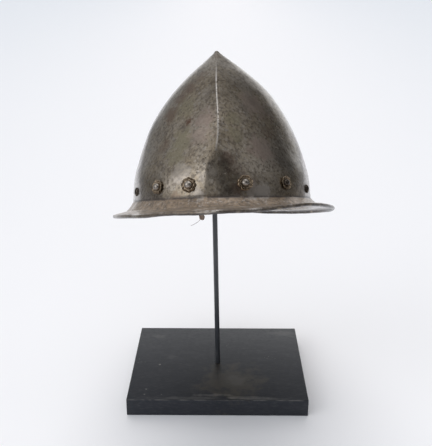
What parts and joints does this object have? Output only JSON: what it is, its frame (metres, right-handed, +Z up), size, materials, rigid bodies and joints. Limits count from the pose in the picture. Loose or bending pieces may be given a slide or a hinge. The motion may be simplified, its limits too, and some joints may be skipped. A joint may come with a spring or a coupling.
{
  "type": "morion helmet on a display stand",
  "caption": "One-piece steel helmet with a keeled, pointed skull, a turned brim and rivets with brass rosettes round its foot, held up on a thin rod over a flat black base.",
  "frame": {"origin": "middle of the underside of the stand's base", "axes": "+Z up, -Y towards the end of the keel that the picture shows, +X to the right as seen there"},
  "size_m": [0.2337, 0.2871, 0.3852],
  "materials": {
    "old_steel": "old dark steel, worn bright on the keel and along the brim's edge, with brown rust stains and pits",
    "rivet_iron": "rounded iron heads, dark where they meet the wall and rubbed bright on top",
    "rosette_brass": "dull brown brass with brighter edges",
    "lining_leather": "dry brown leather, torn and frayed",
    "base_black": "satin black paint on board, scuffed and dusty",
    "rod_black": "thin satin black paint on steel"
  },
  "bodies": {
    "root": {"skull_and_brim": "old_steel", "rivet_01": "rivet_iron", "rivet_02": "rivet_iron", "rivet_03": "rivet_iron", "rivet_04": "rivet_iron", "rivet_05": "rivet_iron", "rivet_06": "rivet_iron", "rivet_07": "rivet_iron", "rivet_08": "rivet_iron", "rivet_09": "rivet_iron", "rivet_10": "rivet_iron", "rivet_11": "rivet_iron", "rivet_12": "rivet_iron", "rosette_02": "rosette_brass", "rosette_03": "rosette_brass", "rosette_04": "rosette_brass", "rosette_05": "rosette_brass", "rosette_07": "rosette_brass", "rosette_08": "rosette_brass", "rosette_09": "rosette_brass", "rosette_10": "rosette_brass", "rosette_11": "rosette_brass", "rosette_12": "rosette_brass", "lining_scrap": "lining_leather", "stand_base": "base_black", "stand_rod": "rod_black"}
  },
  "joints": []
}
